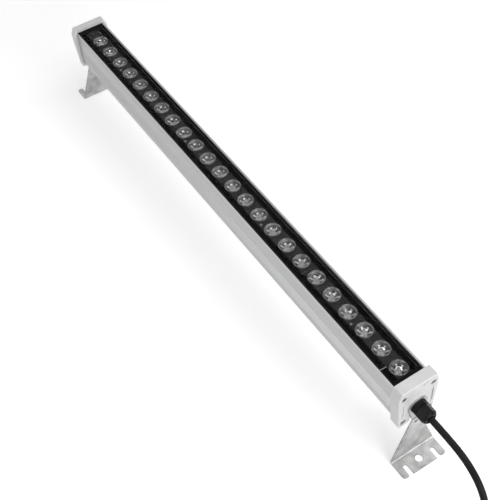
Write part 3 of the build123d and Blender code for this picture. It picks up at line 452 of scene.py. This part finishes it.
# Index of refraction, grain, scale of the smears and roughness of a smear. Both indexes are
# low, as for coated faces.
CLEAR_BODIES = {
    "clear_glass": (1.05, 120.0, 14.0, 0.02),
    "clear_lens": (1.28, 500.0, 120.0, 0.03),
}
FINISHES = {
    "cast_aluminium": cast_aluminium(),
    "brushed_aluminium": drawn_aluminium(),
    "bracket_steel": stainless_sheet(),
    "tie_fabric": strap_webbing(),
}
for maker, rows in (
    (bright_metal, BRIGHT_METALS),
    (moulded, MOULDINGS),
    (sheltered, SHELTERED_MOULDINGS),
    (clear, CLEAR_BODIES),
):
    for name, values in rows.items():
        FINISHES[name] = maker(name, *values)


def dress_cad_nodes():
    """Each CAD node takes the finish of its slot in the record."""
    for part in frame["record"]["subparts"]:
        for slot in nodes[part["node"]].material_slots:
            slot.material = FINISHES[part["material_slot"]]


# ---- meshes -------------------------------------------------------------------------------
def join_rings(work, first, second):
    """Faces between two rings of vertices, triangles where a ring is one vertex repeated."""
    faces = []
    for n in range(len(first)):
        after = (n + 1) % len(first)
        corners = dict.fromkeys((first[n], first[after], second[after], second[n]))
        faces.append(work.faces.new(tuple(corners)))
    return faces


def mesh_of(work, name):
    bmesh.ops.recalc_face_normals(work, faces=work.faces)
    mesh = bpy.data.meshes.new(name)
    work.to_mesh(mesh)
    work.free()
    return mesh


def mesh_object(name, mesh, slot, body):
    made = bpy.data.objects.new(name, mesh)
    bpy.context.scene.collection.objects.link(made)
    mesh.materials.append(FINISHES[slot])
    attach(made, body)
    return made


# ---- lead, coil and tie ---------------------------------------------------------------------
LEAD_RADIUS = 0.005
LEAD_START = Vector((0.5299, 0, 0.130))
FLOOR_LINE = LEAD_RADIUS + 0.00095  # the lead's centre where it lies on the floor
LEAD_SIDES = 8
LEAD_STEPS = 8
COIL_X = 0.792
COIL_TURNS = 3.5
HALF_TURNS = COIL_TURNS / 2
TURN_PITCH = 0.0106
COIL_MID_RADIUS = 0.0505
COIL_INNER = COIL_MID_RADIUS - TURN_PITCH * HALF_TURNS / 2
COIL_OUTER = COIL_INNER + TURN_PITCH * HALF_TURNS
POINTS_PER_TURN = 16
COIL_STUB = 0.010

LEAD_ROUTE = [
    tuple(LEAD_START),
    (0.5670, 0, 0.1300),
    (0.6060, -0.0010, 0.1265),
    (0.6420, -0.0050, 0.1110),
    (0.6670, -0.0130, 0.0810),
    (0.6825, -0.0240, 0.0480),
    (0.7000, -0.0380, 0.0215),
    (0.7240, -0.0515, 0.0084),
    (0.7530, -COIL_OUTER, FLOOR_LINE),
    (COIL_X - COIL_STUB, -COIL_OUTER, FLOOR_LINE),
]
TAIL_ROUTE = [
    (COIL_X - COIL_STUB, COIL_OUTER, FLOOR_LINE + TURN_PITCH),
    (0.7650, COIL_OUTER, FLOOR_LINE + TURN_PITCH),
    (0.7480, COIL_OUTER - 0.0008, FLOOR_LINE + TURN_PITCH - 0.0013),
    (0.7310, 0.0582, 0.0132),
    (0.7140, 0.0582, 0.0132),
]

STRAP_THICKNESS = 0.0009
STRAP_STEPS = 60
STRAP_ENDS = math.radians(70)  # where its two ends meet, from the +X side up
STRAP_SQUARENESS = 5  # a higher power makes the corners of the loop sharper
STRAP_SOFTNESS = 0.4  # share of the thickness that the long edges are rounded off by


def coil_point(turn):
    """A control point of the coil: in along the floor, up a layer, and out again."""
    outside = 1 / (0.75 + 0.25 * math.cos(2 * math.pi / POINTS_PER_TURN))
    radius = (COIL_INNER + TURN_PITCH * abs(turn - HALF_TURNS)) * outside
    climb = min(max(2 * (turn - HALF_TURNS) + 0.5, 0.0), 1.0)
    rise = TURN_PITCH * (0.5 - 0.5 * math.cos(math.pi * climb))
    angle = 2 * math.pi * turn - math.pi / 2
    return (COIL_X + radius * math.cos(angle), radius * math.sin(angle), FLOOR_LINE + rise)


def make_lead():
    steps = int(COIL_TURNS * POINTS_PER_TURN)
    coil = [coil_point((n + 0.5) / POINTS_PER_TURN) for n in range(steps)]
    points = LEAD_ROUTE + coil + TAIL_ROUTE
    data = bpy.data.curves.new("lead", "CURVE")
    data.dimensions = "3D"
    data.bevel_depth = LEAD_RADIUS
    data.bevel_resolution = LEAD_SIDES
    data.use_fill_caps = True
    spline = data.splines.new("NURBS")
    spline.points.add(len(points) - 1)
    for point, place in zip(spline.points, points):
        point.co = (*place, 1)
    spline.order_u = 3
    spline.use_endpoint_u = True
    spline.resolution_u = LEAD_STEPS
    lead = bpy.data.objects.new("lead", data)
    bpy.context.scene.collection.objects.link(lead)
    data.materials.append(FINISHES["lead_rubber"])
    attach(lead, "cable_end_mount")
    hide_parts("power_lead", "lead_coil", "lead_tail")
    return lead


def swept_strip(name, line, across, width, thickness):
    """A flat strip with rounded long edges, laid along a line of points in one plane."""
    half = width / 2
    soft = thickness * STRAP_SOFTNESS
    upper, lower = thickness / 2, -thickness / 2
    profile = [(-half, 0), (-half + soft, upper), (half - soft, upper), (half, 0)]
    profile += [(half - soft, lower), (-half + soft, lower)]
    work = bmesh.new()
    rings = []
    for index, point in enumerate(line):
        before, after = line[max(index - 1, 0)], line[min(index + 1, len(line) - 1)]
        out = (after - before).normalized().cross(across).normalized()
        rings.append([work.verts.new(point + across * a + out * b) for a, b in profile])
    for first, second in zip(rings, rings[1:]):
        join_rings(work, first, second)
    work.faces.new(rings[0])
    work.faces.new(reversed(rings[-1]))
    return mesh_of(work, name)


def make_tie():
    """Strap round the turns: one loop whose two ends meet on top."""
    low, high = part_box("coil_tie")
    middle = Vector(((low.x + high.x) / 2, 0, (low.z + high.z) / 2))
    half_x = (high.x - low.x) / 2 - STRAP_THICKNESS
    half_z = (high.z - low.z) / 2 - STRAP_THICKNESS
    power = STRAP_SQUARENESS
    line = []
    for n in range(STRAP_STEPS + 1):
        angle = 2 * math.pi * n / STRAP_STEPS + STRAP_ENDS
        side = Vector((math.cos(angle), 0, math.sin(angle)))
        total = (abs(side.x) / half_x) ** power + (abs(side.z) / half_z) ** power
        line.append(middle + side * (1 / total ** (1 / power)))
    across = Vector((0, 1, 0))
    mesh = swept_strip("coil_strap", line, across, high.y - low.y, STRAP_THICKNESS)
    strap = mesh_object("coil_strap", mesh, "tie_fabric", "cable_end_mount")
    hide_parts("coil_tie")
    return strap


# ---- lenses and their reflectors -----------------------------------------------------------------
BOARDS = 4
LENSES_PER_BOARD = 6
LENS_RADIUS = 0.0123
ROUND_STEPS = 40
# Profiles of a lens as (radius, height) from its top face: a rimmed disc with a hole, and a
# bulb that hangs in the hole.
DISC_PROFILE = [
    (0.0052, -0.0006), (0.0058, -0.0001), (0.0110, -0.0001), (0.0115, 0.0),
    (0.0119, -0.0001), (0.0122, -0.0004), (0.0123, -0.0009), (0.0123, -0.0020),
    (0.0120, -0.0024), (0.0116, -0.0022), (0.0113, -0.0012), (0.0058, -0.0010),
]
BULB_PROFILE = [
    (0, -0.0009), (0.0022, -0.0011), (0.0038, -0.0018), (0.0048, -0.0034),
    (0.0050, -0.0055), (0.0044, -0.0080), (0.0033, -0.0098), (0.0030, -0.0106), (0, -0.0108),
]
LEG_AZIMUTHS = (45, 105, 165, 225, 285, 345)
LEG_THICKNESS = 0.0004
# Sections of a reflector leg, from its foot up: radius, height from the lens top, half width.
LEG_SECTIONS = [
    (0.0064, -0.0108, 0.0010), (0.0078, -0.0088, 0.0014), (0.0092, -0.0064, 0.0018),
    (0.0103, -0.0044, 0.0017), (0.0110, -0.0030, 0.0009),
]
LEG_SHARES = (-1, -0.4, 0.4, 1)  # where its face has points, in half widths


def ring_point(work, middle, radius, angle, level):
    return work.verts.new(
        (middle + radius * math.cos(angle), radius * math.sin(angle), level)
    )


def turned(work, middle, profile):
    """Adds a closed body turned about the Z axis. The profile points are (radius, height)."""
    angles = [2 * math.pi * n / ROUND_STEPS for n in range(ROUND_STEPS)]
    rings = []
    for radius, level in profile:
        if radius == 0:
            rings.append([work.verts.new((middle, 0, level))] * ROUND_STEPS)
        else:
            rings.append([ring_point(work, middle, radius, a, level) for a in angles])
    closed = rings if profile[0][0] == 0 else rings + rings[:1]
    for first, second in zip(closed, closed[1:]):
        for face in join_rings(work, first, second):
            face.smooth = True


def lens_middles(group):
    """Where the lenses of one board stand along the lamp, and how high their tops are."""
    low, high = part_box(group)
    first = low.x + LENS_RADIUS
    pitch = (high.x - LENS_RADIUS - first) / (LENSES_PER_BOARD - 1)
    return [first + n * pitch for n in range(LENSES_PER_BOARD)], high.z


def make_lenses(group):
    """Clear lenses of one board."""
    middles, top = lens_middles(group)
    work = bmesh.new()
    for middle in middles:
        for profile in (DISC_PROFILE, BULB_PROFILE):
            turned(work, middle, [(radius, top + level) for radius, level in profile])
    name = group + "_moulding"
    lenses = mesh_object(name, mesh_of(work, name), "clear_lens", "lamp")
    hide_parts(group)


def reflector_leg(work, middle, azimuth, top):
    """One bright leg, bowed outwards and rounded at its top, leaning away from the emitter."""
    rings = []
    for radius, level, half_width in LEG_SECTIONS:
        spread = half_width / radius
        angles = [azimuth + spread * share for share in LEG_SHARES]
        corners = [(radius, a) for a in angles]
        corners += [(radius + LEG_THICKNESS, a) for a in reversed(angles)]
        rings.append([ring_point(work, middle, r, a, top + level) for r, a in corners])
    for first, second in zip(rings, rings[1:]):
        join_rings(work, first, second)
    work.faces.new(rings[0])
    work.faces.new(rings[-1])


def make_reflectors():
    """Six bright legs round each emitter."""
    work = bmesh.new()
    for board in range(BOARDS):
        middles, top = lens_middles(f"lens_group_{board + 1}")
        for middle in middles:
            for azimuth in LEG_AZIMUTHS:
                reflector_leg(work, middle, math.radians(azimuth), top)
    name = "reflector_legs"
    legs = mesh_object(name, mesh_of(work, name), "lens_reflector", "lamp")
    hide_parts("lens_reflectors")


# ---- floor, world and lamps --------------------------------------------------------------------
FLOOR_COLOUR = (0.80, 0.80, 0.80)
FLOOR_LIFT = 0.41  # light the floor gives off by itself, for rays that show it
FLOOR_LEVEL = -0.0005  # just under the feet
FLOOR_SIZE = 12
FLOOR_SQUARES = 8
AMBIENT = 0.38
LIGHT_AIM = Vector((0, 0, 0.1))
# Place, size and power in watts.
SOFTBOXES = {
    "overhead_softbox": ((0.9, 0.8, 2.1), (2.0, 1.5), 21),
    "front_softbox": ((-0.3, -1.7, 0.8), (1.7, 0.9), 8),
    "side_softbox": ((3.6, 0.1, 1.4), (2.4, 2.0), 80),
}


def seen_share(tree):
    """1 for rays that show the surroundings: straight, in gloss or through glass."""
    light = tree.nodes.new("ShaderNodeLightPath")
    camera, glossy = light.outputs["Is Camera Ray"], light.outputs["Is Glossy Ray"]
    seen = maths(tree, "MAXIMUM", camera, glossy)
    return maths(tree, "MAXIMUM", seen, light.outputs["Is Transmission Ray"])


def make_world():
    """White surroundings that light the lamp less than they look."""
    world = bpy.data.worlds.new("studio")
    world.use_nodes = True
    tree = world.node_tree
    back = tree.nodes["Background"]
    give(tree, back.inputs["Color"], WHITE)
    give(tree, back.inputs["Strength"], between(tree, seen_share(tree), AMBIENT, 1.0))
    bpy.context.scene.world = world


def make_floor():
    work = bmesh.new()
    bmesh.ops.create_grid(
        work, x_segments=FLOOR_SQUARES, y_segments=FLOOR_SQUARES, size=FLOOR_SIZE
    )
    mesh = bpy.data.meshes.new("floor")
    work.to_mesh(mesh)
    work.free()
    floor = bpy.data.objects.new("floor", mesh)
    floor.location.z = FLOOR_LEVEL
    bpy.context.scene.collection.objects.link(floor)
    material, tree, shader = finish("studio_floor", Roughness=1.0, Specular_IOR_Level=0.0)
    give(tree, shader.inputs["Base Color"], FLOOR_COLOUR)
    give(tree, shader.inputs["Emission Color"], WHITE)
    lift = between(tree, seen_share(tree), 0.0, FLOOR_LIFT)
    give(tree, shader.inputs["Emission Strength"], lift)
    mesh.materials.append(material)


def make_lights():
    for name, (place, size, power) in SOFTBOXES.items():
        data = bpy.data.lights.new(name, "AREA")
        data.shape = "RECTANGLE"
        data.size, data.size_y = size
        data.energy = power
        lamp = bpy.data.objects.new(name, data)
        lamp.location = place
        lamp.rotation_euler = (LIGHT_AIM - Vector(place)).to_track_quat("-Z", "Y").to_euler()
        bpy.context.scene.collection.objects.link(lamp)


# ---- build -------------------------------------------------------------------------------------
place_camera()
dress_cad_nodes()
lead = make_lead()
tie = make_tie()
make_reflectors()
for board in range(BOARDS):
    make_lenses(f"lens_group_{board + 1}")
make_world()
make_floor()
make_lights()
bpy.context.scene.view_settings.view_transform = "Standard"
